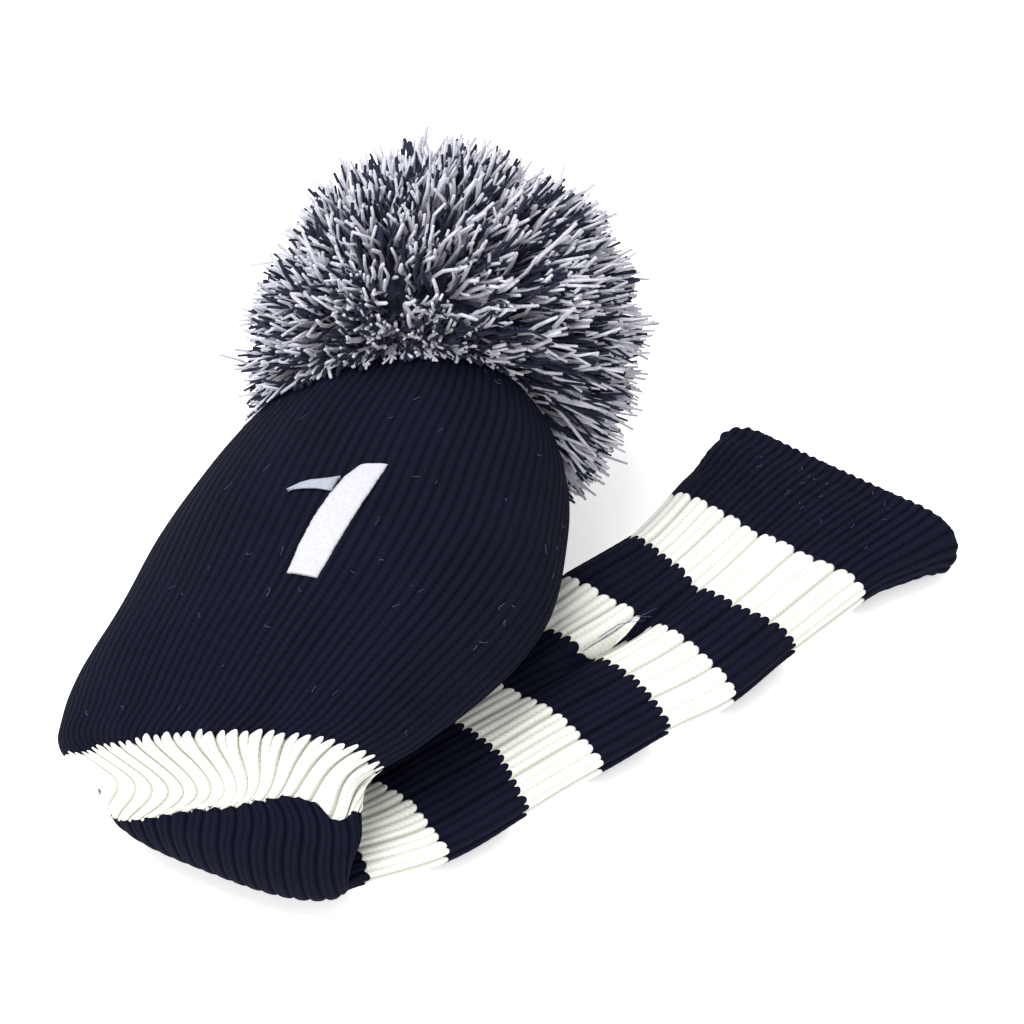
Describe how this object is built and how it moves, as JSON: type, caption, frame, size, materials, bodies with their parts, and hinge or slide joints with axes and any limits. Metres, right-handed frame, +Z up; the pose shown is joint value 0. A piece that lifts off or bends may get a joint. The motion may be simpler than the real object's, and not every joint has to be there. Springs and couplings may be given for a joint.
{
  "type": "driver head cover",
  "caption": "Knitted driver head cover with a striped ribbed neck, a lined head pocket and a yarn pom-pom, folded and lying on its side.",
  "frame": {"origin": "centre of the bounding box's base, on the surface the cover lies on", "axes": "+X along the striped neck towards its cuff mouth, +Y towards the pom-pom side, +Z up"},
  "size_m": [0.2617, 0.1956, 0.123],
  "materials": {
    "navy_knit": "double-knit acrylic, navy",
    "white_knit": "ribbed acrylic, warm white",
    "navy_fleece": "brushed fleece lining, navy",
    "navy_cord": "twisted acrylic cord, navy",
    "white_satin": "satin-stitch embroidery thread, white",
    "grey_satin": "satin-stitch embroidery thread, light grey",
    "stabiliser": "non-woven embroidery backing, white",
    "navy_nylon": "moulded nylon, navy",
    "mixed_yarn": "cut acrylic yarn, navy and light grey mixed"
  },
  "bodies": {
    "neck": {"band_navy_1": "navy_knit", "band_white_2": "white_knit", "band_navy_2": "navy_knit", "band_white_3": "white_knit", "band_navy_3": "navy_knit", "band_white_4": "white_knit", "band_navy_4": "navy_knit", "band_white_5": "white_knit", "cuff_navy": "navy_knit", "cuff_hem": "navy_knit"},
    "head": {"crown_shell": "navy_knit", "crown_lining": "navy_fleece", "crown_draw_cord": "navy_cord", "numeral_stem": "white_satin", "numeral_flag": "grey_satin", "numeral_backing": "stabiliser", "pom_anchor_button": "navy_nylon", "pom_tie_knot": "navy_cord", "band_white_1": "white_knit"},
    "pom_tie": {"pom_tie_cord": "navy_cord"},
    "pom": {"pom_binding_loop": "navy_cord", "pom_yarn_crown_half": "mixed_yarn", "pom_yarn_outer_half": "mixed_yarn"}
  },
  "joints": [
    {"name": "neck_fold", "type": "hinge", "parent": "neck", "child": "head", "pos_m": [-0.11545, -0.05515, 0.0175], "axis": [0.5299, -0.848, 0], "range_deg": [0, 150], "deforming": ["band_navy_1"]},
    {"name": "pom_nod", "type": "hinge", "parent": "head", "child": "pom_tie", "pos_m": [0.03015, 0.0326, 0.051], "axis": [-0.5299, 0.848, 0], "range_deg": [-8, 8]},
    {"name": "pom_sway", "type": "hinge", "parent": "pom_tie", "child": "pom", "pos_m": [0.03015, 0.0326, 0.051], "axis": [-0.1473, -0.092, 0.9848], "range_deg": [-4, 4]}
  ]
}
